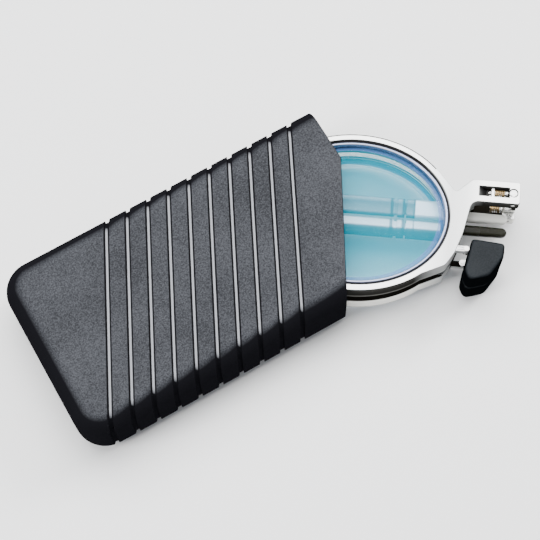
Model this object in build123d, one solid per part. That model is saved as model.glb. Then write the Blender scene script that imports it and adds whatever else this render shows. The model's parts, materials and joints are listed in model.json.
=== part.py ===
from build123d import *
import math
import os

# Folding pocket reading glasses, half drawn out of a ribbed slip case.
# Millimetres. +X runs along the case to its mouth, +Y across it, +Z up.
# The origin is the centre of the case's underside.

os.makedirs("parts", exist_ok=True)

# ---------------------------------------------------------------- driving dimensions

# slip case
CASE_LENGTH = 80.0
CASE_WIDTH = 44.0
CASE_HEIGHT = 16.0
CASE_WALL = 1.6
CASE_EDGE_RADIUS = 4.4          # rounding along the long edges and round the closed end
CASE_CORNER_RADIUS = 7.0        # closed end, seen from above
MOUTH_SLANT = 0.545             # X per Y of the slanted part of the mouth
MOUTH_SQUARE_FROM_Y = 7.4       # the mouth is cut square from here to the far side
LINER_THICKNESS = 0.4
LINER_SETBACK = 3.0             # liner edge behind the mouth and off the side walls

# ribs of the case: the grooves between them
GROOVE_COUNT = 10
GROOVE_PITCH = 5.2
GROOVE_WIDTH = 1.0
GROOVE_DEPTH = 0.55
GROOVE_SLANT = 0.50             # X per Y of a groove
GROOVE_FIRST_X = -22.95         # first groove where it crosses the case's centre line

# where the folded glasses lie: centre of the lenses and turn of their long axis
LENS_CENTRE = (36.6, -4.45)
GLASSES_TURN = -35.3
MID_HEIGHT = CASE_HEIGHT / 2

# rims, in the glasses' own frame: P along the glasses, Q across, W through both lenses
RIM_HALF_P = 22.5
RIM_HALF_Q = 18.7
RIM_OUTER_W = 5.8               # half of the folded stack
RIM_INNER_W = 1.05              # half of the gap for the folded temples
RIM_FACE = 1.35                 # width of the flat polished face
SEAT_W = 2.25                   # shelf that the lens lies on
SEAT_REACH = 1.05               # how far the shelf stands in from the rim's inner wall

# lens, gasket and bezel
GASKET_WALL = 0.35
GASKET_TOP_W = 5.2
BEZEL_WALL = 0.7
BEZEL_BOTTOM_W = 4.4
BEZEL_TOP_W = 5.5
FIT_GAP = 0.05
LENS_INSET = 0.5                # lens edge inside the rim's inner wall
LENS_CROWN_W = 5.2
LENS_RADIUS = 142.0
LENS_BACK_W = SEAT_W + FIT_GAP

# bridge lug, slot, post and link
LUG_INNER_W = 3.2
LUG_START_P = 26.6
LUG_END_P = 36.35
LUG_LOW_Q = 4.65
LUG_HIGH_Q = 9.9
SLOT_Q = (LUG_LOW_Q + LUG_HIGH_Q) / 2
SLOT_WIDTH = 2.45
SLOT_RAMP_RADIUS = 3.4
SLOT_RAMP_P = 30.5
POST_P = 34.93
POST_RADIUS = 0.92
POST_GAP = 0.06
LINK_HALF_Q = 1.0
LINK_INNER_P = 33.95
LINK_PLATE = 0.95
LINK_HALF_W = 3.1
LINK_CHEEK = 0.9
LINK_LENGTH = 2.35              # along P
LINK_CORNER_RADIUS = 0.8
BRIDGE_PIN_RADIUS = 0.40
BRIDGE_PIN_W = 4.4
PIN_GAP = 0.04

# detent plunger and its spring
PLUNGER_W = 4.5
STEM_RADIUS = 0.36
STEM_START_P = 29.4
HEAD_RADIUS = 0.92
HEAD_START_P = 33.2
HEAD_LENGTH = 0.65
WEB_P = 30.1
WEB_LENGTH = 0.6
WEB_TOP_W = 5.0
SPRING_RADIUS = 0.82
SPRING_WIRE = 0.17
SPRING_TURNS = 5

# temples, lying side by side between the lenses
TEMPLE_Q = {"front": 3.9, "rear": -1.2}
TEMPLE_WIDTH = 4.2
TEMPLE_HEIGHT = 1.8
SLEEVE_WALL = 0.3
MID_BROAD_WALL = 0.175          # the middle stage's two broad walls
SLIDE_GAP = 0.05
HINGE_P = -24.6
HINGE_PIN_RADIUS = 0.45
KNUCKLE_RADIUS = 0.88
KNUCKLE_HALF_Q = 1.0
EAR_HALF_Q = 2.5
EAR_HALF_P = 0.9
SLEEVE_START_P = -23.0
SLEEVE_END_P = 8.9
MID_START_P = -21.5
MID_END_P = 11.2
MID_COLLAR = 1.6
INNER_START_P = -19.5
HOLDER_START_P = 11.7
HOLDER_END_P = 19.4
TIP_END_P = 34.3
TIP_WIDTH = 2.3
TIP_SHIFT = {"front": -0.95, "rear": 0.95}
TIP_EDGE_RADIUS = 0.35
TONGUE_LENGTH = 9.0
TONGUE_HALF = (0.6, 0.3)        # half width and half height of the metal inside a tip

# end piece of each rim, which carries the temple hinge
END_PIECE_START_P = -26.2
END_PIECE_HALF_Q = 3.2
END_PIECE_RADIUS = 1.2
HINGE_BASE_P = (-25.8, -23.2)
HINGE_BASE_DEPTH = 0.8

# nose pads
PAD_PIN = (25.1, -6.8)
PAD_PIN_RADIUS = 0.35
PAD_ARM_WIDTH = 1.4
PAD_ARM_ROOT_P = 21.4
PAD_ARM_W = (4.2, 5.5)
PAD_ARM_ROOM = 0.3              # free space in the pad round the arm's eye
PAD_TAB_W = (3.3, 4.1)
PAD_TAB_LENGTH = 3.5
PAD_SCREW_HEAD = (0.25, 0.22)   # height, and how far it stands out round the shank
PAD_W = (0.25, 6.3)
PAD_EDGE_RADIUS = 0.7


# ---------------------------------------------------------------- helpers

def upright(face, low, high):
    """The solid between two heights over a flat outline drawn in the XY plane."""
    return extrude(face, amount=high - low).moved(Location((0, 0, low)))


def block(p, q, w):
    """A box given by its lowest and highest value along each axis."""
    size = [high - low for low, high in (p, q, w)]
    middle = [(high + low) / 2 for low, high in (p, q, w)]
    return Box(*size).moved(Location(tuple(middle)))


def rod(start, direction, length, radius):
    """A round bar that starts at a point and runs along a direction."""
    return extrude(Plane(origin=start, z_dir=direction) * Circle(radius), amount=length)


def oval(half_p, half_q, low, high):
    """An upright elliptic prism round the lens centre."""
    return upright(Ellipse(half_p, half_q).face(), low, high)


def rim_oval(inset, low, high):
    """The rim's outer ellipse, drawn in by an inset."""
    return oval(RIM_HALF_P - inset, RIM_HALF_Q - inset, low, high)


# ---------------------------------------------------------------- slip case

def mouth_outline(setback=0.0):
    """Outline of everything behind the mouth: square at the far side, slanted at the near side."""
    far = CASE_WIDTH
    end = CASE_LENGTH / 2 - setback
    near_end = end - MOUTH_SLANT * (MOUTH_SQUARE_FROM_Y + far)
    return make_face(Polyline(
        (-CASE_LENGTH, -far), (near_end, -far), (end, MOUTH_SQUARE_FROM_Y),
        (end, far), (-CASE_LENGTH, far), close=True))


def rounded_body(inset):
    """The case's outer body drawn in by an inset, closed at -X and running on past the mouth."""
    half_y = CASE_WIDTH / 2 - inset
    low, high = inset, CASE_HEIGHT - inset
    solid = block((-CASE_LENGTH / 2 + inset, CASE_LENGTH), (-half_y, half_y), (low, high))
    back = solid.faces().sort_by(Axis.X)[0]
    uprights = back.edges().filter_by(Axis.Z)
    solid = fillet(uprights, CASE_CORNER_RADIUS - inset)
    rims = [solid.faces().sort_by(Axis.Z)[index].edges() for index in (0, -1)]
    open_end = solid.faces().sort_by(Axis.X)[-1].edges()
    rounded = [edge for rim in rims for edge in rim if edge not in open_end]
    return fillet(rounded, CASE_EDGE_RADIUS - inset)


def groove_slab(index):
    """A thin slanted slab that marks out one groove."""
    x_mid = GROOVE_FIRST_X + GROOVE_PITCH * index
    reach = CASE_WIDTH
    half = GROOVE_WIDTH / 2 * math.hypot(1, GROOVE_SLANT)
    outline = Polyline(
        (x_mid - half - GROOVE_SLANT * reach, -reach), (x_mid + half - GROOVE_SLANT * reach, -reach),
        (x_mid + half + GROOVE_SLANT * reach, reach), (x_mid - half + GROOVE_SLANT * reach, reach),
        close=True)
    return upright(make_face(outline), -1, CASE_HEIGHT + 1)


def case_shell():
    """One-piece moulded shell: a rounded box with a slanted mouth and grooves all round it."""
    behind_mouth = upright(mouth_outline(), -1, CASE_HEIGHT + 1)
    outer = rounded_body(0) & behind_mouth
    groove_floor = rounded_body(GROOVE_DEPTH)
    skin = outer - groove_floor
    for index in range(GROOVE_COUNT):
        outer -= groove_slab(index) & skin
    return outer - rounded_body(CASE_WALL)


def case_liner(low):
    """A thin felt sheet glued to one broad inside wall."""
    half_y = CASE_WIDTH / 2 - CASE_WALL - LINER_SETBACK
    start = -CASE_LENGTH / 2 + CASE_WALL + LINER_SETBACK
    sheet = block((start, CASE_LENGTH / 2), (-half_y, half_y), (low, low + LINER_THICKNESS))
    back = sheet.edges().filter_by(Axis.Z).sort_by(Axis.X)[:2]
    return fillet(back, LINER_SETBACK) & upright(mouth_outline(LINER_SETBACK), 0, CASE_HEIGHT)


# ---------------------------------------------------------------- rims

def bridge_plate():
    """Outline of the wide nasal side of a rim and of the lug that carries the bridge."""
    corners = [
        (0, 0), (17.75, 11.5), (22.11, 6.39), (25.81, LUG_HIGH_Q), (LUG_END_P, LUG_HIGH_Q),
        (LUG_END_P, LUG_LOW_Q), (25.74, LUG_LOW_Q), (24.1, -3.3), (22.5, -8.0),
        (20.6, -11.1), (15.4, -13.6)]
    radii = [0.1, 0.1, 0.85, 1.5, 0.5, 0.5, 2.0, 12.0, 6.0, 2.0, 0.1]
    return make_face(FilletPolyline(*corners, radius=radii, close=True))


def lug_slot():
    """The slot milled along a lug, with a round ramp at one end and the post's hole at the other."""
    low_q, high_q = SLOT_Q - SLOT_WIDTH / 2, SLOT_Q + SLOT_WIDTH / 2
    below = LUG_INNER_W - 1
    above = RIM_OUTER_W + 1
    ramp_centre = LUG_INNER_W + SLOT_RAMP_RADIUS
    ramp = rod((SLOT_RAMP_P, low_q, ramp_centre), (0, 1, 0), SLOT_WIDTH, SLOT_RAMP_RADIUS)
    straight = block((SLOT_RAMP_P, POST_P - POST_RADIUS), (low_q, high_q), (below, above))
    web = block((WEB_P, WEB_P + WEB_LENGTH), (low_q - 1, high_q + 1), (below, WEB_TOP_W))
    stem_hole = rod((WEB_P - 1, SLOT_Q, PLUNGER_W), (1, 0, 0), WEB_LENGTH + 2, STEM_RADIUS + FIT_GAP)
    post_hole = rod((POST_P, SLOT_Q, below), (0, 0, 1), above - below, POST_RADIUS + POST_GAP)
    return (ramp + straight - web) + stem_hole + post_hole


def rim(temple_q):
    """A rim drawn as the front one: ring, lens shelf, nasal plate, lug and end piece."""
    body = rim_oval(0, RIM_INNER_W, RIM_OUTER_W) + upright(bridge_plate(), RIM_INNER_W, RIM_OUTER_W)
    end_piece = block(
        (END_PIECE_START_P, -RIM_HALF_P + 4),
        (temple_q - END_PIECE_HALF_Q, temple_q + END_PIECE_HALF_Q),
        (RIM_INNER_W, RIM_OUTER_W))
    outer_corners = end_piece.edges().filter_by(Axis.Z).sort_by(Axis.X)[:2]
    body += fillet(outer_corners, END_PIECE_RADIUS)
    body -= rim_oval(RIM_FACE, SEAT_W, RIM_OUTER_W + 1)
    body -= rim_oval(RIM_FACE + SEAT_REACH, 0, RIM_OUTER_W)
    body -= block((LUG_START_P, LUG_END_P + 1), (LUG_LOW_Q - 1, LUG_HIGH_Q + 1), (0, LUG_INNER_W))
    body -= lug_slot()
    pin_start = (POST_P, LUG_LOW_Q - 1, BRIDGE_PIN_W)
    body -= rod(pin_start, (0, 1, 0), LUG_HIGH_Q - LUG_LOW_Q + 2, BRIDGE_PIN_RADIUS + PIN_GAP)
    body -= hinge_base(temple_q, FIT_GAP)
    return body


def gasket():
    """A thin black sleeve between the rim's inner wall and the lens."""
    outer = rim_oval(RIM_FACE + FIT_GAP, SEAT_W, GASKET_TOP_W)
    return outer - rim_oval(RIM_FACE + FIT_GAP + GASKET_WALL, 0, RIM_OUTER_W)


def bezel():
    """The polished ring that holds the lens down, rounded on top."""
    start = RIM_FACE + 2 * FIT_GAP + GASKET_WALL
    ring = rim_oval(start, BEZEL_BOTTOM_W, BEZEL_TOP_W)
    ring -= rim_oval(start + BEZEL_WALL, 0, RIM_OUTER_W)
    return fillet(ring.faces().sort_by(Axis.Z)[-1].edges(), BEZEL_WALL * 0.4)


def crown_height(reach):
    """Height of the lens's spherical front at a distance from its centre."""
    return LENS_CROWN_W - LENS_RADIUS + math.sqrt(LENS_RADIUS ** 2 - reach ** 2)


def lens():
    """A weak magnifying lens: an elliptic disc, flat behind and crowned in front."""
    reach = RIM_HALF_P + 2
    edge = (reach, 0, crown_height(reach))
    halfway = (reach / 2, 0, crown_height(reach / 2))
    crown = ThreePointArc((0, 0, LENS_CROWN_W), halfway, edge)
    sides = Polyline(edge, (reach, 0, LENS_BACK_W), (0, 0, LENS_BACK_W), (0, 0, LENS_CROWN_W))
    dome = revolve(make_face([crown, *sides.edges()]), axis=Axis.Z)
    return dome & rim_oval(RIM_FACE + LENS_INSET, 0, RIM_OUTER_W)


# ---------------------------------------------------------------- bridge

def bridge_link():
    """The folded link: a C of flat bar with a round post at each end."""
    low_q, high_q = SLOT_Q - LINK_HALF_Q, SLOT_Q + LINK_HALF_Q
    outer_p = LINK_INNER_P + LINK_LENGTH
    link = block((LINK_INNER_P, outer_p), (low_q, high_q), (-LINK_HALF_W, LINK_HALF_W))
    link = fillet(link.edges().filter_by(Axis.Y).sort_by(Axis.X)[-2:], LINK_CORNER_RADIUS)
    inner_w = LINK_HALF_W - LINK_CHEEK
    link -= block((0, outer_p - LINK_PLATE), (0, 20), (-inner_w, inner_w))
    for side in (1, -1):
        start = (POST_P, SLOT_Q, side * (LINK_HALF_W - 0.1))
        post = rod(start, (0, 0, side), RIM_OUTER_W - 0.1 - LINK_HALF_W, POST_RADIUS)
        hole = rod((POST_P, 0, side * BRIDGE_PIN_W), (0, 1, 0), 20, BRIDGE_PIN_RADIUS + FIT_GAP / 2)
        link = link + post - hole
    return link


def bridge_pin():
    """The hinge pin through a lug's two walls and the link's post."""
    start = (POST_P, LUG_LOW_Q + 0.1, BRIDGE_PIN_W)
    return rod(start, (0, 1, 0), LUG_HIGH_Q - LUG_LOW_Q - 0.2, BRIDGE_PIN_RADIUS)


def bridge_plunger():
    """The detent plunger: a thin stem with a domed head that presses on the post."""
    stem = rod((STEM_START_P, SLOT_Q, PLUNGER_W), (1, 0, 0), HEAD_START_P - STEM_START_P, STEM_RADIUS)
    head = rod((HEAD_START_P, SLOT_Q, PLUNGER_W), (1, 0, 0), HEAD_LENGTH, HEAD_RADIUS)
    return stem + fillet(head.edges().sort_by(Axis.X)[-1], 0.3)


def bridge_spring():
    """The coil spring round the plunger's stem."""
    start_p = WEB_P + WEB_LENGTH + SPRING_WIRE + 0.03
    length = HEAD_START_P - start_p - SPRING_WIRE - 0.03
    path = Helix(pitch=length / SPRING_TURNS, height=length, radius=SPRING_RADIUS)
    wire = sweep(Plane(origin=path @ 0, z_dir=path % 0) * Circle(SPRING_WIRE), path=path, is_frenet=True)
    return wire.moved(Location((start_p, SLOT_Q, PLUNGER_W), (0, 90, 0)))


# ---------------------------------------------------------------- temples

def flat_tube(start, end, width, height, wall=0.0):
    """A flat rectangular bar along P with rounded sides, hollow when it has a wall."""
    section = Plane.YZ * RectangleRounded(width, height, height * 0.3)
    bar = extrude(section, amount=end - start).moved(Location((start, 0, 0)))
    if wall:
        bar -= block((start - 1, end + 1), (-width / 2 + wall, width / 2 - wall),
                     (-height / 2 + wall, height / 2 - wall))
    return bar


MID_WIDTH = TEMPLE_WIDTH - 2 * SLEEVE_WALL - 2 * SLIDE_GAP
MID_HEIGHT_W = TEMPLE_HEIGHT - 2 * SLEEVE_WALL - 2 * SLIDE_GAP
INNER_WIDTH = MID_WIDTH - 2 * SLEEVE_WALL - 2 * SLIDE_GAP
INNER_HEIGHT_W = MID_HEIGHT_W - 2 * MID_BROAD_WALL - 2 * SLIDE_GAP


def hinge_base(temple_q, gap=0.0):
    """The plate of a temple hinge that is let into the rim's end piece."""
    return block(
        (HINGE_BASE_P[0] - gap, HINGE_BASE_P[1] + gap),
        (temple_q - EAR_HALF_Q - gap, temple_q + EAR_HALF_Q + gap),
        (RIM_INNER_W - 0.01 * bool(gap), RIM_INNER_W + HINGE_BASE_DEPTH + gap))


def temple_hinge(temple_q):
    """The hinge bracket: a let-in plate with two ears for the hinge screw."""
    bracket = hinge_base(temple_q)
    for side in (1, -1):
        edges = sorted((temple_q + side * (KNUCKLE_HALF_Q + SLIDE_GAP), temple_q + side * EAR_HALF_Q))
        bracket += block(
            (HINGE_P - EAR_HALF_P, HINGE_P + EAR_HALF_P), tuple(edges), (-TEMPLE_HEIGHT / 2, RIM_INNER_W))
    bore = rod((HINGE_P, temple_q - 5, 0), (0, 1, 0), 10, HINGE_PIN_RADIUS + PIN_GAP)
    return bracket - bore


def temple_screw(temple_q):
    """The screw that the temple turns on, flush with the hinge's ears."""
    start = (HINGE_P, temple_q - EAR_HALF_Q, 0)
    return rod(start, (0, 1, 0), 2 * EAR_HALF_Q, HINGE_PIN_RADIUS)


def temple_sleeve():
    """The outer stage: a flat tube with a knuckle at the hinge and a collar at the mouth."""
    tube = flat_tube(SLEEVE_START_P, SLEEVE_END_P, TEMPLE_WIDTH, TEMPLE_HEIGHT, SLEEVE_WALL)
    plug = block((HINGE_P, SLEEVE_START_P + 0.5), (-KNUCKLE_HALF_Q, KNUCKLE_HALF_Q), (-0.5, 0.5))
    knuckle = rod((HINGE_P, -KNUCKLE_HALF_Q, 0), (0, 1, 0), 2 * KNUCKLE_HALF_Q, KNUCKLE_RADIUS)
    end_wall = flat_tube(SLEEVE_START_P, SLEEVE_START_P + 0.6, TEMPLE_WIDTH, TEMPLE_HEIGHT)
    sleeve = tube + end_wall + plug + knuckle
    return sleeve - rod((HINGE_P, -5, 0), (0, 1, 0), 10, HINGE_PIN_RADIUS + PIN_GAP)


def temple_mid():
    """The middle stage, with a collar that stays outside the sleeve."""
    tube = flat_tube(MID_START_P, MID_END_P, MID_WIDTH, MID_HEIGHT_W)
    collar = flat_tube(MID_END_P - MID_COLLAR, MID_END_P, TEMPLE_WIDTH, TEMPLE_HEIGHT)
    half_q = INNER_WIDTH / 2 + SLIDE_GAP
    half_w = INNER_HEIGHT_W / 2 + SLIDE_GAP
    return tube + collar - block((-30, 30), (-half_q, half_q), (-half_w, half_w))


def temple_inner(tip_shift):
    """The inner stage: a flat bar and the metal holder that the tip is pushed onto."""
    bar = flat_tube(INNER_START_P, HOLDER_START_P + 1, INNER_WIDTH, INNER_HEIGHT_W)
    holder = flat_tube(HOLDER_START_P, HOLDER_END_P, TEMPLE_WIDTH, TEMPLE_HEIGHT)
    tongue = tip_tongue(tip_shift)
    return bar + holder + tongue


def tip_tongue(tip_shift, gap=0.0):
    """The flat tongue inside the tip."""
    half_q, half_w = (half + gap for half in TONGUE_HALF)
    return block((HOLDER_END_P - 0.1, HOLDER_END_P + TONGUE_LENGTH + gap),
                 (tip_shift - half_q, tip_shift + half_q), (-half_w, half_w))


def temple_tip(tip_shift):
    """The soft ear tip, round at its free end."""
    half = TIP_WIDTH / 2
    bar = block((HOLDER_END_P, TIP_END_P), (tip_shift - half, tip_shift + half),
                (-TEMPLE_HEIGHT / 2, TEMPLE_HEIGHT / 2))
    bar = fillet(bar.edges().filter_by(Axis.Z).sort_by(Axis.X)[-2:], half * 0.9)
    bar = fillet(bar.faces().filter_by(Axis.Z).edges().sort_by(Axis.X)[2:], TIP_EDGE_RADIUS)
    return bar - tip_tongue(tip_shift)


# ---------------------------------------------------------------- nose pads

def pad_outline():
    """A rounded wedge, widest beside the bridge."""
    corners = [(26.2, -4.5), (33.5, -5.0), (33.3, -8.4), (30.4, -13.0), (25.9, -14.4), (24.7, -12.0)]
    radii = [0.6, 0.9, 2.6, 2.4, 1.3, 2.4]
    return make_face(FilletPolyline(*corners, radius=radii, close=True))


def pad_tab(gap=0.0):
    """The metal tab moulded into a pad, with an eye for the pad's screw."""
    p, q = PAD_PIN
    half = PAD_ARM_WIDTH / 2 + gap
    low, high = PAD_TAB_W[0] - gap, PAD_TAB_W[1] + gap
    bar = block((p, p + PAD_TAB_LENGTH + gap), (q - half, q + half), (low, high))
    return bar + rod((p, q, low), (0, 0, 1), high - low, half)


def pad_mount():
    """The tab with the hole for the pad's screw."""
    p, q = PAD_PIN
    return pad_tab() - rod((p, q, 0), (0, 0, 1), 10, PAD_PIN_RADIUS + PIN_GAP)


def nose_pad():
    """The soft pad, which holds its metal tab in a pocket."""
    pad = upright(pad_outline(), *PAD_W)
    pad = fillet(pad.faces().sort_by(Axis.Z)[-1].edges(), PAD_EDGE_RADIUS)
    p, q = PAD_PIN
    arm_room = rod((p, q, PAD_ARM_W[0] - 0.1), (0, 0, 1), PAD_W[1], PAD_ARM_WIDTH / 2 + PAD_ARM_ROOM)
    return pad - pad_tab() - arm_room


def pad_arm():
    """The bar that stands out of the rim and carries the pad's screw."""
    p, q = PAD_PIN
    half = PAD_ARM_WIDTH / 2
    low, high = PAD_ARM_W
    arm = block((PAD_ARM_ROOT_P, p), (q - half, q + half), (low, high))
    arm += rod((p, q, low), (0, 0, 1), high - low, half)
    return arm - rod((p, q, 0), (0, 0, 1), 10, PAD_PIN_RADIUS + PIN_GAP)


def pad_screw():
    """The screw through arm and tab, with a low head on the arm."""
    p, q = PAD_PIN
    top = PAD_ARM_W[1]
    shank = rod((p, q, PAD_TAB_W[0] - 0.2), (0, 0, 1), top - PAD_TAB_W[0] + 0.2, PAD_PIN_RADIUS)
    head = rod((p, q, top), (0, 0, 1), PAD_SCREW_HEAD[0], PAD_PIN_RADIUS + PAD_SCREW_HEAD[1])
    return shank + head


# ---------------------------------------------------------------- assembly

def placed(shape):
    """Move a piece from the glasses' own frame to its place in the case's mouth."""
    return shape.moved(Location((*LENS_CENTRE, MID_HEIGHT), (0, 0, GLASSES_TURN)))


def half_of_the_glasses(side):
    """Every piece of one lens's side, drawn at the front and mirrored for the rear."""
    q = TEMPLE_Q[side]
    shift = TIP_SHIFT[side]
    temple = Location((0, q, 0))
    pieces = {
        "rim": rim(q) - pad_arm_socket(),
        "lens_gasket": gasket(),
        "lens": lens(),
        "bezel_ring": bezel(),
        "bridge_pin": bridge_pin(),
        "bridge_plunger": bridge_plunger(),
        "bridge_spring": bridge_spring(),
        "temple_hinge": temple_hinge(q),
        "temple_screw": temple_screw(q),
        "temple_sleeve": temple_sleeve().moved(temple),
        "temple_mid_stage": temple_mid().moved(temple),
        "temple_inner_stage": temple_inner(shift).moved(temple),
        "temple_tip": temple_tip(shift).moved(temple),
        "pad_arm": pad_arm(),
        "pad_screw": pad_screw(),
        "pad_mount": pad_mount(),
        "nose_pad": nose_pad(),
    }
    if side == "rear":
        pieces = {name: mirror(piece, about=Plane.XY) for name, piece in pieces.items()}
    return {f"{side}_{name}": placed(piece) for name, piece in pieces.items()}


def pad_arm_socket():
    """The notch in the rim that the pad arm's root is soldered into."""
    p, q = PAD_PIN
    half = PAD_ARM_WIDTH / 2
    return block((PAD_ARM_ROOT_P, p), (q - half, q + half), PAD_ARM_W)


nodes = {
    "case_shell": case_shell(),
    "case_upper_liner": case_liner(CASE_HEIGHT - CASE_WALL - LINER_THICKNESS),
    "case_lower_liner": case_liner(CASE_WALL),
    "bridge_link": placed(bridge_link()),
}
nodes.update(half_of_the_glasses("front"))
nodes.update(half_of_the_glasses("rear"))

for name, shape in nodes.items():
    export_step(shape, f"parts/{name}.step")
print(f"{len(nodes)} nodes written")
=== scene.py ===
# %% [markdown]
# Folding pocket magnifying glasses, half drawn out of a ribbed slip case. The frame holds every hard
# piece at its real size, so this lesson only adds what a frame can't: soft edges, rounded rubber, a
# crowned lens with a bevelled edge, coil springs, and finishes. Work begins by loading the frame.

# %% The frame
import json
import math

import bpy
import numpy as np
from mathutils import Matrix, Vector


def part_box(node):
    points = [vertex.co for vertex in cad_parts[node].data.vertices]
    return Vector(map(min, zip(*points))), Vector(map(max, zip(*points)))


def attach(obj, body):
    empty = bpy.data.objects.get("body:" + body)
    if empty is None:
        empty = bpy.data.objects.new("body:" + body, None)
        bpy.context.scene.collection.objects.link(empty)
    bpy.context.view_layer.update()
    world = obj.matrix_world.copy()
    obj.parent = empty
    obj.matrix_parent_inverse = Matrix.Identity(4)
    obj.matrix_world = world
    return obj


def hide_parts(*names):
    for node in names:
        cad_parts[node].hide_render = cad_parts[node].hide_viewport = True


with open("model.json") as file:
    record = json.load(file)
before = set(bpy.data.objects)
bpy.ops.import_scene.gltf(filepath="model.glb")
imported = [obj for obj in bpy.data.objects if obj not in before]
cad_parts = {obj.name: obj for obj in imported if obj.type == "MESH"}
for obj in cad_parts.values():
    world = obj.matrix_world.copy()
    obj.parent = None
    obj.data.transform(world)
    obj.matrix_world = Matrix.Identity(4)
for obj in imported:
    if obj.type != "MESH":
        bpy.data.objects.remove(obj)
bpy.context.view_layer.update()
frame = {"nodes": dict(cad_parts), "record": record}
nodes = frame["nodes"]
MM = 0.001

# %% [markdown]
# The folded glasses lie turned in the case's mouth. Most of their pieces are easier to draw in the
# glasses' own axes: P along the glasses to the bridge, Q across them and W up through both lenses. The
# frame already knows the turn, as the direction in which a temple slides, and the middle is halfway
# between the two lenses.

# %% The glasses' own axes
slides = {joint["name"]: joint for joint in frame["record"]["behaviour"]["joints"]}
axis_p = np.array(slides["front_temple_mid_slide"]["axis"], dtype=float)
axis_q = np.array([-axis_p[1], axis_p[0], 0.0])
axis_w = np.array([0.0, 0.0, 1.0])
turn = math.atan2(axis_p[1], axis_p[0])


def box_middle(*names):
    """The middle of the boxes of some frame nodes."""
    corners = np.array([np.array(corner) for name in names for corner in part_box(name)])
    return (corners.min(axis=0) + corners.max(axis=0)) / 2


lens_middle = box_middle("front_lens", "rear_lens")


def in_glasses(points):
    """Row-frame points written in the glasses' own axes, by a dot product with each axis."""
    return (np.asarray(points) - lens_middle) @ np.stack([axis_p, axis_q, axis_w], axis=1)


def to_frame(p, q, w):
    """The glasses' own P, Q and W turned back into row-frame points."""
    stacked = np.stack(np.broadcast_arrays(p, q, w), axis=-1)
    return lens_middle + stacked @ np.stack([axis_p, axis_q, axis_w])


def own_points(name):
    """A frame node's vertices, in the glasses' own axes."""
    flat = np.empty(len(nodes[name].data.vertices) * 3)
    nodes[name].data.vertices.foreach_get("co", flat)
    return in_glasses(flat.reshape(-1, 3))


def reach_of(name):
    """Lowest and highest P, Q and W of a frame node."""
    own = own_points(name)
    return own.min(axis=0), own.max(axis=0)


print("turn", round(math.degrees(turn), 1), "degrees, middle", lens_middle.round(4))

# %% [markdown]
# The camera stands above the near side and looks down at about seventy degrees, with a long lens, so that
# the case hardly narrows with distance. It is placed by two angles and a distance from a point near the
# mouth.

# %% The camera
AIM = Vector((14.2, -5.2, 8.0)) * MM
CAMERA_DISTANCE = 0.3294
CAMERA_AZIMUTH = math.radians(-27.2)
CAMERA_ELEVATION = math.radians(69.9)
CAMERA_ROLL = math.radians(-2.9)
FOCAL_LENGTH = 98.2
SENSOR_WIDTH = 36.0

camera_data = bpy.data.cameras.new("studio_camera")
camera_data.lens = FOCAL_LENGTH
camera_data.sensor_width = SENSOR_WIDTH
camera_data.clip_start = 0.01
camera = bpy.data.objects.new("studio_camera", camera_data)
bpy.context.scene.collection.objects.link(camera)
bpy.context.scene.camera = camera
away = Vector((
    math.sin(CAMERA_AZIMUTH) * math.cos(CAMERA_ELEVATION),
    -math.cos(CAMERA_AZIMUTH) * math.cos(CAMERA_ELEVATION),
    math.sin(CAMERA_ELEVATION)))
level = (-away).to_track_quat("-Z", "Y").to_matrix().to_4x4()
rolled = Matrix.Rotation(CAMERA_ROLL, 4, "Z")
camera.matrix_world = Matrix.Translation(AIM + away * CAMERA_DISTANCE) @ level @ rolled
print("camera at", [round(value, 3) for value in camera.matrix_world.translation])

# %% [markdown]
# Polished metal and glass show what stands round them, so the light is a few large soft panels: a broad
# one overhead and behind, which lies along the flat faces as one even sheen, and weaker ones at the
# sides. The light and dark bands on the rims' walls are painted reflections. The floor is plain and pale.


# %% Floor and lights
SKY_COLOUR = (0.93, 0.96, 1.0, 1.0)
SKY_STRENGTH = 0.45
FLOOR_HALF = 3.0
FLOOR_DROP = 0.2 * MM           # the floor lies just under the case


def soft_panel(name, place, size, watts):
    """A square area light that faces the aim point."""
    data = bpy.data.lights.new(name, "AREA")
    data.shape = "SQUARE"
    data.size = size
    data.energy = watts
    light = bpy.data.objects.new(name, data)
    bpy.context.scene.collection.objects.link(light)
    spot = Vector(place)
    facing = (AIM - spot).to_track_quat("-Z", "Y").to_matrix().to_4x4()
    light.matrix_world = Matrix.Translation(spot) @ facing


soft_panel("overhead_panel", (0.12, 0.28, 0.72), 0.80, 14.0)
soft_panel("left_panel", (-0.60, 0.05, 0.45), 0.30, 5.0)
soft_panel("right_panel", (0.62, 0.05, 0.42), 0.26, 5.0)

world = bpy.data.worlds.new("studio")
bpy.context.scene.world = world
world.use_nodes = True
sky = world.node_tree.nodes["Background"].inputs
sky["Color"].default_value = SKY_COLOUR
sky["Strength"].default_value = SKY_STRENGTH

floor_mesh = bpy.data.meshes.new("floor")
floor_corners = [(x * FLOOR_HALF, y * FLOOR_HALF, 0) for x, y in ((-1, -1), (1, -1), (1, 1), (-1, 1))]
floor_mesh.from_pydata(floor_corners, [], [(0, 1, 2, 3)])
floor = bpy.data.objects.new("floor", floor_mesh)
bpy.context.scene.collection.objects.link(floor)
floor.location.z = -FLOOR_DROP
print("three panels and a floor")

# %% [markdown]
# Finishes are node trees, but long chains of Math nodes are hard to read. A small class wraps a socket so
# that plain arithmetic adds the nodes, and one method makes any other node. A finish then reads like a
# formula.


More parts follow.
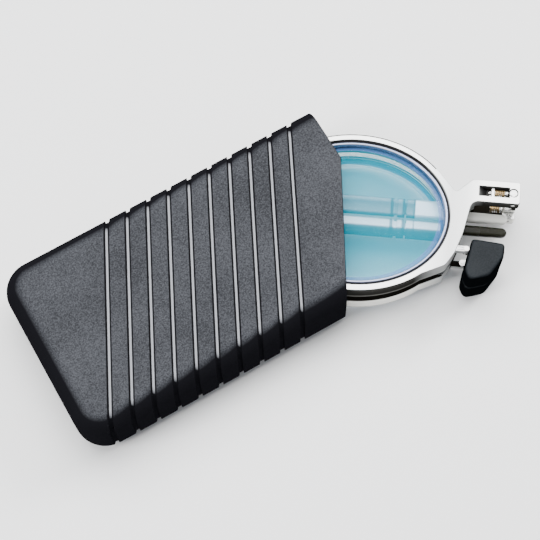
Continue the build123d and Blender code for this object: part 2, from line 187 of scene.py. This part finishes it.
# %% Shader arithmetic
class Wire:
    """A shader socket that Python arithmetic can be done on."""

    def __init__(self, finish, socket):
        self.finish = finish
        self.socket = socket

    def __add__(self, other):
        return self.finish.maths("ADD", self, other)

    def __sub__(self, other):
        return self.finish.maths("SUBTRACT", self, other)

    def __rsub__(self, other):
        return self.finish.maths("SUBTRACT", other, self)

    def __mul__(self, other):
        return self.finish.maths("MULTIPLY", self, other)

    def __truediv__(self, other):
        return self.finish.maths("DIVIDE", self, other)

    def __gt__(self, other):
        return self.finish.maths("GREATER_THAN", self, other)

    def __lt__(self, other):
        return self.finish.maths("LESS_THAN", self, other)

    def __abs__(self):
        return self.finish.maths("ABSOLUTE", self)

    __radd__ = __add__
    __rmul__ = __mul__


class Finish:
    """A material with one Principled shader, and short ways to feed it."""

    def __init__(self, name):
        self.material = bpy.data.materials.new(name)
        self.material.use_nodes = True
        self.tree = self.material.node_tree
        self.shader = self.tree.nodes["Principled BSDF"]

    def node(self, kind, settings, sockets, out=0):
        """Add a node: its settings first, then the values or wires of its sockets."""
        made = self.tree.nodes.new("ShaderNode" + kind)
        for key, value in settings.items():
            if key == "stops":
                self.fill_ramp(made.color_ramp, value)
            else:
                setattr(made, key, value)
        for key, value in sockets.items():
            self.feed(made.inputs[key], value)
        return Wire(self, made.outputs[out])

    def feed(self, socket, value):
        """Link a wire to a socket, or set a plain value on it."""
        if isinstance(value, Wire):
            self.tree.links.new(value.socket, socket)
        else:
            socket.default_value = value

    def fill_ramp(self, ramp, stops):
        """Give a colour ramp its (place, grey) stops."""
        while len(ramp.elements) < len(stops):
            ramp.elements.new(0.5)
        for element, (place, grey) in zip(ramp.elements, stops):
            element.position = place
            element.color = (grey, grey, grey, 1.0)

    def maths(self, operation, *values):
        return self.node("Math", {"operation": operation}, dict(enumerate(values)))

    def part(self, vector, axis):
        """The X, Y or Z part of a vector."""
        return self.node("SeparateXYZ", {}, {"Vector": vector}, out=axis)

    def place(self, turned=0.0, stretch=(1.0, 1.0, 1.0)):
        """Object coordinates, turned about Z and stretched, in metres."""
        coordinate = self.node("TexCoord", {}, {}, out="Object")
        return self.node("Mapping", {"vector_type": "TEXTURE"},
                         {"Vector": coordinate, "Rotation": (0.0, 0.0, turned), "Scale": stretch})

    def noise(self, where, scale, detail=3.0):
        return self.node("TexNoise", {}, {"Vector": where, "Scale": scale, "Detail": detail}, out="Fac")

    def blend(self, amount, first, second):
        """A colour between two colours."""
        mixed = self.tree.nodes.new("ShaderNodeMix")
        mixed.data_type = "RGBA"
        self.feed(mixed.inputs[0], amount)
        self.feed(mixed.inputs[6], (*first, 1.0) if isinstance(first, tuple) else first)
        self.feed(mixed.inputs[7], (*second, 1.0) if isinstance(second, tuple) else second)
        return Wire(self, mixed.outputs[2])

    def steps(self, value, *stops):
        """A smooth ramp of greys through (place, grey) stops."""
        return self.node("ValToRGB", {"stops": stops}, {"Fac": value})

    def facing_up(self):
        """One on faces that look up or down, zero on upright walls."""
        return abs(self.part(self.node("NewGeometry", {}, {}, out="Normal"), "Z"))

    def bump(self, height, strength, distance):
        return self.node("Bump", {}, {"Height": height, "Strength": strength, "Distance": distance})

    def shade(self, **values):
        """Feed the shader's sockets, named in small letters, and give the material."""
        for key, value in values.items():
            self.feed(self.shader.inputs[key.replace("_", " ").title().replace("Ior", "IOR")], value)
        return self.material


print("shader helpers ready")

# %% [markdown]
# The case is dark moulded plastic. Its panels have the fine even grain of a spark-eroded mould, while the
# groove floors come from polished steel and are smooth. The overhead light they catch is a painted
# highlight, a pale colour on the floors, and the groove walls with the panel edges beside them are painted
# near black as shade. The grooves repeat at an even pitch along a slanted line, so a formula finds them.
# Take the distance along X, less the slant times Y, less the place of the first groove, and divide it by
# the pitch: it is a whole number in the middle of each groove. The rounded sides get a painted shade, a
# darker colour, and have no gloss, because a gloss there would catch the pale floor.

# %% Case plastic
GROOVE_PITCH = 5.2 * MM
GROOVE_SLANT = 0.50
GROOVE_FIRST_X = -22.95 * MM
GROOVE_COUNT = 10
GROOVE_HALF = 0.74 * MM
PANEL_DARK, PANEL_LIGHT = (0.014, 0.015, 0.018), (0.060, 0.063, 0.072)
# painted highlight on the groove floors and painted shade on the groove walls and the panel edges beside them
GROOVE_WALL_SHADE, GROOVE_FLOOR_HIGHLIGHT = (0.002, 0.002, 0.003), (0.36, 0.37, 0.40)
# painted shade on the rounded sides
CASE_SIDE_SHADE = (0.0060, 0.0060, 0.0075)
PANEL_GRAIN, FINE_GRAIN, MOTTLE = 3400.0, 7000.0, 60.0      # noise cells to the metre
GRAIN_DEPTH = 0.06 * MM
SOFT_GLOSS = 0.45               # coat roughness of plastic and rubber


def off_groove(finish):
    """Distance to the nearest groove's middle line, measured along X, in metres."""
    where = finish.place()
    run = finish.part(where, "X") - GROOVE_SLANT * finish.part(where, "Y") - GROOVE_FIRST_X
    index = run / GROOVE_PITCH
    nearest = finish.maths("MAXIMUM", finish.maths("ROUND", index), 0.0)
    nearest = finish.maths("MINIMUM", nearest, GROOVE_COUNT - 1.0)
    return abs(index - nearest) * GROOVE_PITCH


def case_plastic():
    """Grained panels, groove floors with a painted highlight between groove walls in painted shade, and
    rounded sides in painted shade.
    """
    finish = Finish("case_plastic")
    apart = off_groove(finish) / GROOVE_HALF
    in_groove = finish.steps(apart, (0.82, 1.0), (1.0, 0.0))
    floor_highlight = finish.steps(apart, (0.26, 1.0), (0.44, 0.0))
    up = finish.steps(finish.facing_up(), (0.89, 0.0), (0.995, 1.0))
    where = finish.place()
    grain = finish.noise(where, PANEL_GRAIN, 2.0)
    broad = finish.noise(where, MOTTLE, 3.0)
    fine = finish.noise(where, FINE_GRAIN, 2.0)
    panel = finish.blend(
        finish.steps(grain * 0.7 + broad * 0.3, (0.36, 0.0), (0.68, 1.0)), PANEL_DARK, PANEL_LIGHT)
    # painted highlight on the groove floor, painted shade on its walls and the panel edges
    groove_light_and_shade = finish.blend(floor_highlight, GROOVE_WALL_SHADE, GROOVE_FLOOR_HIGHLIGHT)
    flat_side = finish.blend(in_groove, panel, groove_light_and_shade)
    height = (1.0 - in_groove) * (grain * 0.7 + fine * 0.3)
    return finish.shade(
        base_color=finish.blend(up, CASE_SIDE_SHADE, flat_side), specular_ior_level=0.0,
        roughness=(1.0 - in_groove) * (0.46 + 0.14 * grain) + in_groove * 0.36,
        coat_weight=0.14 * up, coat_roughness=SOFT_GLOSS, normal=finish.bump(height, 0.55, GRAIN_DEPTH))


print("case plastic:", GROOVE_COUNT, "grooves, one every", GROOVE_PITCH / MM, "mm")

# %% [markdown]
# The rims are polished metal with a satin lap on the flat faces: mostly mirror, with very fine scratches
# and a slow unevenness. A polished upright wall shows bands of whatever stands round it, and a plain
# studio has little to show, so the walls get painted reflections: bands of colour over the height of the
# folded stack, with no gloss on the walls. The corners and the far edge get a thin line of painted shade,
# the wide plate by the bridge is painted a little greyer, and the faces that look into the gap between the
# rims get a near black painted shade. All of it is worked out from the place on the rim and from how far
# the surface looks up, so it stays with the metal when the rims move.

# %% Rim metal
STACK_LOW = float(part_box("rear_rim")[0][2])
STACK_HIGH = float(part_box("front_rim")[1][2])
RIM_HALF_P = 22.5 * MM
RIM_HALF_Q = 18.7 * MM
# painted reflections on the rims' walls, as bands over the stack's height
RIM_WALL_REFLECTIONS = (                   # dark to light over the stack's height
    (0.0, 0.0), (0.04, 0.9), (0.33, 1.0), (0.37, 0.0), (0.60, 0.0), (0.64, 0.12), (0.70, 0.01),
    (0.90, 0.02), (0.96, 0.05), (1.0, 0.0))
WALL_REFLECTION_DARK, WALL_REFLECTION_LIGHT = (0.006, 0.006, 0.005), (1.0, 0.99, 0.93)
# a line of painted shade on the rounded corners
CORNER_SHADE_LINE = (0.03, 0.03, 0.03)
# a line of painted shade along the far outer edge
FAR_EDGE_SHADE = (0.02, 0.02, 0.02)
OUTLINE_RING, OUTLINE_HALF = 0.984, 0.018   # the outline's place on the ellipse, and its half width
OUTLINE_END_P = 17.4 * MM
# the wide plate by the bridge is painted greyer
PLATE_GREY = (0.42, 0.43, 0.43)
PLATE_GREY_START_P, PLATE_GREY_LENGTH = 14.0 * MM, 16.0 * MM
# painted shade, near black, on the faces that look into the gap between the rims
GAP_SHADE = (0.010, 0.009, 0.007)
BRIDGE_START_P, BRIDGE_END_P = 22.2 * MM, 33.6 * MM
NEAR_GAP_Q = -11.0 * MM
GAP_TOP, BRIDGE_FLOOR, NEAR_FLOOR = 0.62, 0.12, 0.38    # shares of the stack's height
SCRATCH_SCALE, CLOUD_SCALE = 1500.0, 120.0
SCRATCH_DEPTH = 0.02 * MM


def along_axis(finish, axis):
    """Distance from the lenses' middle along an axis of the glasses, in metres."""
    dot = finish.node("VectorMath", {"operation": "DOT_PRODUCT"},
                      {0: finish.place(), 1: tuple(axis)}, out="Value")
    return dot - float(lens_middle @ axis)


def shaded_inside(finish, height):
    """One on the faces between the rims that get a painted shade: at the bridge end, and along the near side
    of the gap.
    """
    p, q = along_axis(finish, axis_p), along_axis(finish, axis_q)
    bridge_end = (p > BRIDGE_START_P) * (p < BRIDGE_END_P) * (height > BRIDGE_FLOOR)
    near_gap = (q < NEAR_GAP_Q) * (height > NEAR_FLOOR)
    return (height < GAP_TOP) * finish.maths("MAXIMUM", bridge_end, near_gap)


def far_outline(finish):
    """One along a rim's far outer edge, where the squares of P and Q over the half sizes add up to one."""
    p, q = along_axis(finish, axis_p), along_axis(finish, axis_q)
    ellipse = (p / RIM_HALF_P) * (p / RIM_HALF_P) + (q / RIM_HALF_Q) * (q / RIM_HALF_Q)
    closeness = 1.0 - abs(ellipse - OUTLINE_RING) / OUTLINE_HALF
    return finish.steps(closeness, (0.0, 0.0), (0.4, 1.0)) * ((q > 0.0) * (p < OUTLINE_END_P))


def rim_painted_light(finish, face):
    """A rim's colour and metallic share, from the colour of its flat faces, with painted reflections on its
    walls and painted shade on its corners, its far edge and between the rims.
    """
    height = (finish.part(finish.place(), "Z") - STACK_LOW) / (STACK_HIGH - STACK_LOW)
    upward = finish.facing_up()
    # painted reflection bands on the walls
    wall_reflection = finish.blend(finish.steps(height, *RIM_WALL_REFLECTIONS), WALL_REFLECTION_DARK, WALL_REFLECTION_LIGHT)
    tint = finish.blend(finish.steps(upward, (0.40, 0.0), (0.50, 1.0)), wall_reflection, face)
    # painted shade on the rounded corners
    corner = finish.steps(upward, (0.36, 0.0), (0.48, 1.0), (0.90, 1.0), (0.97, 0.0))
    tint = finish.blend(corner, tint, CORNER_SHADE_LINE)
    along = (along_axis(finish, axis_p) - PLATE_GREY_START_P) / PLATE_GREY_LENGTH
    greyer_plate = finish.steps(along, (0.0, 0.0), (0.45, 1.0), (0.65, 0.8), (0.90, 0.0))
    tint = finish.blend(greyer_plate, tint, PLATE_GREY)
    # painted shade along the far edge
    tint = finish.blend(far_outline(finish), tint, FAR_EDGE_SHADE)
    # painted shade between the rims, where the metal is also switched off
    painted_gap_shade = shaded_inside(finish, height)
    metallic = finish.steps(upward, (0.85, 0.0), (0.97, 1.0)) * (1.0 - painted_gap_shade)
    return finish.blend(painted_gap_shade, tint, GAP_SHADE), metallic


def polished(name, colour, rough, bands=None):
    """Metal whose roughness and height vary with a fine noise; painted reflections and painted shade may
    change its colour.
    """
    finish = Finish(name)
    lines = finish.noise(finish.place(turn), SCRATCH_SCALE, 4.0)
    cloud = finish.noise(finish.place(), CLOUD_SCALE, 3.0)
    tint = finish.blend(cloud, tuple(value * 0.93 for value in colour), colour)
    metallic = 1.0
    if bands:
        tint, metallic = bands(finish, tint)
        # specular level zero: the walls show only their painted reflections
        finish.shade(specular_ior_level=0.0)
    return finish.shade(
        base_color=tint, metallic=metallic, roughness=rough + 0.10 * lines + 0.05 * cloud,
        normal=finish.bump(lines, 0.10, SCRATCH_DEPTH))


print("rim bands over", round((STACK_HIGH - STACK_LOW) / MM, 1), "mm")

# %% [markdown]
# The temples are thin brushed steel, lying side by side between the lenses. They mirror the rims above
# them as light and dark bands along their length, and they have darker collars across. The bands are
# painted reflections, drawn the same way as on the rims: a ramp over Q for the bands, and one over P for
# the collars and for a pale painted highlight on the front temple's tip holder. The brushing is a noise
# stretched along P.

# %% Temple metal
BAND_START_Q, BAND_WIDTH = -5.0 * MM, 12.0 * MM
COLLAR_START_P, COLLAR_REACH = 7.0 * MM, 8.0 * MM
TEMPLE_REFLECTION_DARK, TEMPLE_REFLECTION_LIGHT = (0.0, 0.008, 0.012), (0.80, 0.84, 0.95)
# painted reflection bands, dark to light across both temples
TEMPLE_REFLECTION_BANDS = (                # dark to light across both temples
    (0.0, 0.0), (0.24, 0.02), (0.30, 0.10), (0.34, 0.9), (0.46, 0.75), (0.52, 0.0), (0.56, 0.0),
    (0.60, 0.30), (0.80, 0.16), (0.88, 0.40), (0.92, 0.02))
COLLARS = (
    (0.10, 0.0), (0.13, 1.0), (0.19, 1.0), (0.22, 0.0), (0.44, 0.0), (0.47, 1.0), (0.54, 1.0),
    (0.57, 0.0), (0.76, 0.0), (0.79, 1.0), (0.82, 0.0))
BRUSHING = (14.0, 1.0, 1.0)


def banded(name):
    """Brushed steel whose painted reflections change across and along the folded temples, with darker collars
    and a painted highlight on the front holder.
    """
    finish = Finish(name)
    across = (along_axis(finish, axis_q) - BAND_START_Q) / BAND_WIDTH
    along = (along_axis(finish, axis_p) - COLLAR_START_P) / COLLAR_REACH
    collars = finish.steps(along, *COLLARS)
    # painted highlight on the front temple's holder
    holder_highlight = finish.steps(along, (0.80, 0.0), (0.84, 1.0)) * finish.steps(across, (0.53, 0.0), (0.56, 1.0))
    lines = finish.noise(finish.place(turn, BRUSHING), SCRATCH_SCALE, 4.0)
    bands = finish.steps(across, *TEMPLE_REFLECTION_BANDS) * (1.0 - 0.7 * collars)
    shade = finish.maths("MAXIMUM", bands, holder_highlight)
    return finish.shade(
        base_color=finish.blend(shade, TEMPLE_REFLECTION_DARK, TEMPLE_REFLECTION_LIGHT), metallic=0.35 * shade,
        roughness=0.24 + 0.14 * lines, specular_ior_level=0.0, normal=finish.bump(lines, 0.10, SCRATCH_DEPTH))


print("temple bands over", round(BAND_WIDTH / MM, 1), "mm")

# %% [markdown]
# Rubber, felt and the gaskets differ only in colour, grain and gloss, so one function makes them all.
# Their upright sides get a painted shade, darker than the top, and lose the gloss, as on the case.

# %% Rubber and felt
# painted shade on upright sides
SIDE_SHADE_SHARE = 0.2                # how much of the dark colour is left on upright sides
RUBBER_DEPTH = 0.05 * MM


def dull(name, dark, light, rough, scale, bump):
    """Rubber or felt: a mottled colour, a fine uneven surface and a painted shade on upright sides."""
    finish = Finish(name)
    where = finish.place()
    grain = finish.noise(where, scale, 4.0)
    cloud = finish.noise(where, scale * 0.05, 2.0)
    top = finish.blend(finish.steps(grain * 0.6 + cloud * 0.4, (0.35, 0.0), (0.65, 1.0)), dark, light)
    up = finish.steps(finish.facing_up(), (0.55, 0.0), (0.95, 1.0))
    return finish.shade(
        base_color=finish.blend(up, tuple(SIDE_SHADE_SHARE * value for value in dark), top),
        roughness=rough + 0.12 * grain, specular_ior_level=0.0, coat_weight=0.15 * up,
        coat_roughness=SOFT_GLOSS, normal=finish.bump(grain, bump, RUBBER_DEPTH))


print("rubber and felt ready")

# %% [markdown]
# Clear parts are the hard case. Refracting glass blocks the light of the panels from what lies behind it,
# so the temples between the lenses would go dark. A coated lens is better made as a thin tinted film: a
# low alpha lets light and sight through, a blue gives the coating, and only a faint gloss is left. It is
# denser in the bevel, where one looks through more glass.


# %% Clear finishes
TIP_PARTING = 1.4 * MM          # between the two tips, along Q


def coated_glass(name, centre, edge):
    """Blue coated glass that is denser in the bevel, marked by the piece's own attribute."""
    finish = Finish(name)
    bevel = finish.node("Attribute", {"attribute_name": "bevel"}, {}, out="Fac")
    drift = finish.noise(finish.place(), 45.0, 2.0)
    colour = finish.blend(bevel, finish.blend(drift, *centre), edge)
    return finish.shade(
        base_color=colour, roughness=0.02 + 0.02 * drift, specular_ior_level=0.05,
        alpha=0.12 + 0.05 * drift + 0.28 * bevel)


def soft_clear(name, dark, light):
    """Cloudy silicone that light half passes: the tip under the bridge is painted pale as lit, the other one
    painted dark as in shade.
    """
    finish = Finish(name)
    cloud = finish.noise(finish.place(), 220.0, 3.0)
    # painted light and shade: the tip above the parting is pale, the other dark
    lit_tip = along_axis(finish, axis_q) > TIP_PARTING
    tint = finish.blend(lit_tip, finish.blend(cloud, tuple(value * 0.4 for value in dark), dark), light)
    return finish.shade(
        base_color=tint, roughness=0.22 + 0.15 * cloud, specular_ior_level=0.08, alpha=0.84 + 0.15 * cloud,
        normal=finish.bump(cloud, 0.2, 0.1 * MM))


print("clear finishes ready")

# %% [markdown]
# Every finish is made once, under the name of its material slot in the record. The floor gets a faint
# unevenness too, so that it reads as paper and not as a flat colour.

# %% The set of finishes
finishes = {
    "case_plastic": case_plastic(),
    "liner_felt": dull("liner_felt", (0.015, 0.015, 0.018), (0.05, 0.05, 0.055), 0.85, 1800.0, 0.8),
    "rim_metal": polished("rim_metal", (0.74, 0.74, 0.73), 0.18, rim_painted_light),
    "bezel_metal": polished("bezel_metal", (0.34, 0.37, 0.50), 0.30),
    "temple_metal": banded("temple_metal"),
    "pin_steel": polished("pin_steel", (0.62, 0.61, 0.59), 0.18),
    "spring_brass": polished("spring_brass", (0.42, 0.29, 0.14), 0.22),
    # the gasket's near-black colour is painted shade: a dark ring for the shade in the groove between rim
    # face and bezel
    "gasket_rubber": dull("gasket_rubber", (0.006, 0.006, 0.008), (0.02, 0.02, 0.024), 0.35, 2400.0, 0.2),
    "pad_rubber": dull("pad_rubber", (0.008, 0.010, 0.012), (0.016, 0.019, 0.022), 0.46, 3200.0, 0.25),
    "lens_glass": coated_glass("lens_glass", ((0.0, 0.50, 0.72), (0.0, 0.64, 0.86)), (0.13, 0.28, 0.66)),
    "tip_silicone": soft_clear("tip_silicone", (0.016, 0.016, 0.009), (0.62, 0.62, 0.58)),
}
floor_finish = Finish("floor_paper")
paper = floor_finish.noise(floor_finish.place(), 6.0, 3.0)
floor_mesh.materials.append(floor_finish.shade(
    base_color=floor_finish.blend(paper, (0.95, 0.95, 0.95), (0.98, 0.98, 0.98)), roughness=0.85))
print(len(finishes), "finishes")

# %% [markdown]
# Every frame node takes the finish of its slot in the record. The case and the metal pieces also get a
# small bevel as a modifier: the frame's mesh stays as it is, its doubled corners are merged first, and
# only sharp edges are rounded, which is what makes a polished edge catch a thin line of light. On the
# thin walls of the temples the bevel is clamped, so that it can't overlap itself.

# %% Finishes and soft edges on the frame
slot_of = {entry["node"]: entry["material_slot"] for entry in frame["record"]["subparts"]}
EDGE_ROUNDING = {               # bevel width in millimetres, by the end of the node's name
    "case_shell": 0.14, "rim": 0.10, "bridge_link": 0.12, "temple_sleeve": 0.06, "temple_mid_stage": 0.06,
    "temple_inner_stage": 0.06, "pad_arm": 0.10, "temple_hinge": 0.08, "bezel_ring": 0.04}
SHARP_ANGLE = math.radians(38)
MERGE_DISTANCE = 0.002 * MM


def soften(piece, width):
    """Merge doubled corners, then round the sharp edges."""
    weld = piece.modifiers.new("merge", "WELD")
    weld.merge_threshold = MERGE_DISTANCE
    bevel = piece.modifiers.new("edge", "BEVEL")
    bevel.width = width * MM
    bevel.segments = 2
    bevel.limit_method = "ANGLE"
    bevel.angle_limit = SHARP_ANGLE
    bevel.use_clamp_overlap = "temple" in piece.name


for name, piece in nodes.items():
    piece.data.materials.clear()
    piece.data.materials.append(finishes[slot_of[name]])
    for ending, width in EDGE_ROUNDING.items():
        if name.endswith(ending):
            soften(piece, width)
print("finishes on", len(nodes), "nodes")

# %% [markdown]
# New pieces are rings of points worked out by numpy, each ring closed on itself.


# %% Grid helpers
CAP_SIZE = 0.02                 # the smallest ring, as a share of the outline, which a cap closes


def ring_faces(count, around):
    """Quads between neighbouring rings, with the last point of a ring joined to its first."""
    ring, point = np.meshgrid(np.arange(count - 1) * around, np.arange(around), indexing="ij")
    after = (point + 1) % around
    corners = (ring + point, ring + after, ring + around + after, ring + around + point)
    return np.stack([corner.ravel() for corner in corners], axis=1)


def face_outwards(mesh):
    """Turn every face round if the mesh's signed volume is below zero."""
    mesh.calc_loop_triangles()
    points = np.empty(len(mesh.vertices) * 3)
    mesh.vertices.foreach_get("co", points)
    points = points.reshape(-1, 3)
    corners = np.empty(len(mesh.loop_triangles) * 3, dtype=np.int32)
    mesh.loop_triangles.foreach_get("vertices", corners)
    a, b, c = (points[corners.reshape(-1, 3)[:, index]] - points.mean(axis=0) for index in range(3))
    if np.einsum("ij,ij->", a, np.cross(b, c)) < 0:
        mesh.flip_normals()


def closed_piece(name, rings, body, replaced, slot):
    """A closed mesh from rings of points; the first and last ring are each closed by a cap."""
    count, around = rings.shape[:2]
    mesh = bpy.data.meshes.new(name)
    caps = [list(range(around))[::-1], list(range((count - 1) * around, count * around))]
    mesh.from_pydata(rings.reshape(-1, 3).tolist(), [], ring_faces(count, around).tolist() + caps)
    mesh.update()
    piece = bpy.data.objects.new(name, mesh)
    bpy.context.scene.collection.objects.link(piece)
    face_outwards(mesh)
    mesh.materials.append(finishes[slot])
    mesh.shade_smooth()
    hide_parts(replaced)
    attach(piece, body)
    return piece


print("grid helpers ready")

# %% [markdown]
# Each lens is crowned in front and has a bevel two millimetres wide round its edge, which shows as a
# deeper blue band. It is drawn as a set of ellipses of growing size: the height over an ellipse follows a
# shallow parabola, then drops along the bevel, then down the edge wall and back in over the flat rear
# face.

# %% Lenses
AROUND_LENS = 160
BEVEL_WIDTH = 2.0 * MM
BEVEL_DROP = 0.42 * MM
CROWN = 0.75 * MM
LENS_CORNER = 0.05 * MM         # rounding where the edge wall meets the bevel and the rear face
CROWN_RINGS = 14


def lens_halves(name):
    """The half lengths of a turned ellipse, from the half sizes of its upright box."""
    low, high = (np.array(corner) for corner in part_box(name))
    half_x, half_y = ((high - low) / 2)[:2]
    total = half_x ** 2 + half_y ** 2
    difference = (half_x ** 2 - half_y ** 2) / math.cos(2 * turn)
    return math.sqrt((total + difference) / 2), math.sqrt((total - difference) / 2)


def lens_rings(name, outward):
    """Ellipses from the crown's centre over the bevel and edge to the centre of the rear face."""
    half_p, half_q = lens_halves(name)
    low, high = reach_of(name)
    front, back = (high[2], low[2]) if outward > 0 else (low[2], high[2])
    crown_reach = 1 - BEVEL_WIDTH / half_p
    inwards = np.linspace(CAP_SIZE, crown_reach, CROWN_RINGS)
    size = np.concatenate([inwards, [crown_reach + 0.004, 0.999, 1.0, 1.0, 0.995], inwards[::-1]])
    edge = front - outward * (CROWN + BEVEL_DROP)
    dome = front - outward * CROWN * (inwards / crown_reach) ** 2
    height = np.concatenate([
        dome, [dome[-1] - outward * 0.01 * MM, edge, edge - outward * LENS_CORNER,
               back + outward * LENS_CORNER, back],
        np.full(CROWN_RINGS, back)])
    angle = np.linspace(0, 2 * math.pi, AROUND_LENS, endpoint=False)
    p = size[:, None] * half_p * np.cos(angle)
    q = size[:, None] * half_q * np.sin(angle)
    on_bevel = (size >= crown_reach + 0.002) & (np.arange(len(size)) < CROWN_RINGS + 3)
    return to_frame(p, q, np.repeat(height[:, None], AROUND_LENS, axis=1)), np.repeat(on_bevel, AROUND_LENS)


for side, outward in (("front", 1), ("rear", -1)):
    rings, on_bevel = lens_rings(f"{side}_lens", outward)
    glass = closed_piece(f"{side}_crowned_lens", rings, "glasses", f"{side}_lens", "lens_glass")
    mark = glass.data.attributes.new("bevel", "FLOAT", "POINT")
    mark.data.foreach_set("value", on_bevel.astype(np.float32))
    print(glass.name, "half sizes", [round(value / MM, 2) for value in lens_halves(f"{side}_lens")], "mm")

# %% [markdown]
# The nose pads are soft moulded wedges. Real rubber has no sharp corner, so each pad is a stack of its
# own outline: full size through the middle of its height and drawn in towards both faces along a quarter
# circle. The outline is worked out from how far the frame's pad reaches in each direction.

# %% Nose pads
AROUND_PAD = 72
PAD_ROUNDING = 0.85 * MM
FACE_RINGS = 4
EDGE_RINGS = 9


def pad_outline(name):
    """The pad's outline and its middle: each point is the reach in a direction, plus its slope across it."""
    own = own_points(name)
    middle = (own.min(axis=0) + own.max(axis=0))[:2] / 2
    offsets = own[:, :2] - middle
    angle = np.linspace(0, 2 * math.pi, AROUND_PAD, endpoint=False)
    direction = np.stack([np.cos(angle), np.sin(angle)], axis=1)
    support = (offsets @ direction.T).max(axis=0)
    slope = (np.roll(support, -1) - np.roll(support, 1)) / (2 * (angle[1] - angle[0]))
    across = np.stack([-np.sin(angle), np.cos(angle)], axis=1)
    return middle + support[:, None] * direction + slope[:, None] * across, middle


def pad_rings(name, outward):
    """The outline repeated up the pad, drawn in towards both faces along a quarter circle."""
    outline, middle = pad_outline(name)
    low, high = reach_of(name)
    inner, outer = (low[2], high[2]) if outward > 0 else (high[2], low[2])
    curl = np.linspace(0, math.pi / 2, EDGE_RINGS)
    inset = PAD_ROUNDING * (1 - np.cos(curl))
    rise = PAD_ROUNDING * np.sin(curl)
    face_inset = np.linspace(1.3, 4.0, FACE_RINGS) * PAD_ROUNDING
    insets = np.concatenate([face_inset[::-1], inset[::-1], inset, face_inset])
    heights = np.concatenate([
        np.full(FACE_RINGS, inner), inner + outward * (PAD_ROUNDING - rise[::-1]),
        outer - outward * (PAD_ROUNDING - rise), np.full(FACE_RINGS, outer)])
    span = np.linalg.norm(outline - middle, axis=1)
    scale = np.clip(1 - insets[:, None] / span, CAP_SIZE, 1)
    plan = middle + (outline - middle) * scale[..., None]
    return to_frame(plan[..., 0], plan[..., 1], np.repeat(heights[:, None], AROUND_PAD, axis=1))


for side, outward in (("front", 1), ("rear", -1)):
    rings = pad_rings(f"{side}_nose_pad", outward)
    closed_piece(f"{side}_soft_pad", rings, f"{side}_pad", f"{side}_nose_pad", "pad_rubber")
print("two soft pads")

# %% [markdown]
# The coil springs are a round wire along a helix: a circle carried along the curve, with one direction
# pointing out from the coil's axis and the other along it. The turns lie closer at both ends, as on a
# ground spring.

# %% Coil springs
SPRING_TURNS = 6
AROUND_WIRE = 8
STEPS_PER_TURN = 20
WIRE_RADIUS = 0.15 * MM
EASED_SHARE = 0.35              # how far the spacing follows a smooth step, which closes up the end turns


def spring_rings(name):
    """Circles round a helix whose axis runs along P, inside the frame spring's box."""
    low, high = reach_of(name)
    middle = (low + high) / 2
    coil_radius = (high[1] - low[1]) / 2 - WIRE_RADIUS
    t = np.linspace(0, 1, SPRING_TURNS * STEPS_PER_TURN + 1)
    angle = 2 * math.pi * SPRING_TURNS * t
    eased = EASED_SHARE * (3 * t ** 2 - 2 * t ** 3) + (1 - EASED_SHARE) * t
    along = low[0] + WIRE_RADIUS + (high[0] - low[0] - 2 * WIRE_RADIUS) * eased
    bend = np.linspace(0, 2 * math.pi, AROUND_WIRE, endpoint=False)
    radius = coil_radius + WIRE_RADIUS * np.cos(bend)[None, :]
    p = along[:, None] + WIRE_RADIUS * np.sin(bend)[None, :]
    q = middle[1] + radius * np.cos(angle)[:, None]
    w = middle[2] + radius * np.sin(angle)[:, None]
    return to_frame(p, q, w)


for side in ("front", "rear"):
    rings = spring_rings(f"{side}_bridge_spring")
    closed_piece(f"{side}_coil", rings, "glasses", f"{side}_bridge_spring", "spring_brass")
print("two coil springs")

# %% [markdown]
# The ear tips are silicone pushed over the temple's metal core: a flat bar with a superellipse for its
# section, which swells a little and closes in a round end. The section shrinks to nothing along a quarter
# circle.

# %% Ear tips
AROUND_TIP = 40
TIP_SECTION_POWER = 3.2
SLIM = 0.93                     # size at both ends of the straight part; the middle is full size
STRAIGHT_RINGS = 16
END_RINGS = 12
END_CURL = math.pi / 2 * 0.97   # the quarter circle stops just short, and a cap closes it


def tip_rings(name):
    """Superellipse sections along P, thinning to a round end."""
    low, high = reach_of(name)
    middle = (low + high) / 2
    half_q, half_w = (high - low)[1:] / 2
    straight = np.linspace(low[0], high[0] - half_q, STRAIGHT_RINGS)
    curl = np.linspace(0, END_CURL, END_RINGS)[1:]
    along = np.concatenate([straight, high[0] - half_q + half_q * np.sin(curl)])
    swell = SLIM + (1 - SLIM) * np.sin(np.linspace(0, math.pi, STRAIGHT_RINGS))
    size = np.concatenate([swell, SLIM * np.cos(curl)])
    angle = np.linspace(0, 2 * math.pi, AROUND_TIP, endpoint=False)
    power = 2 / TIP_SECTION_POWER
    across = np.sign(np.cos(angle)) * np.abs(np.cos(angle)) ** power
    up = np.sign(np.sin(angle)) * np.abs(np.sin(angle)) ** power
    q = middle[1] + half_q * size[:, None] * across
    w = middle[2] + half_w * np.sqrt(size)[:, None] * up
    return to_frame(np.repeat(along[:, None], AROUND_TIP, axis=1), q, w)


for side in ("front", "rear"):
    rings = tip_rings(f"{side}_temple_tip")
    closed_piece(f"{side}_ear_tip", rings, f"{side}_temple_end", f"{side}_temple_tip", "tip_silicone")
print("two ear tips")
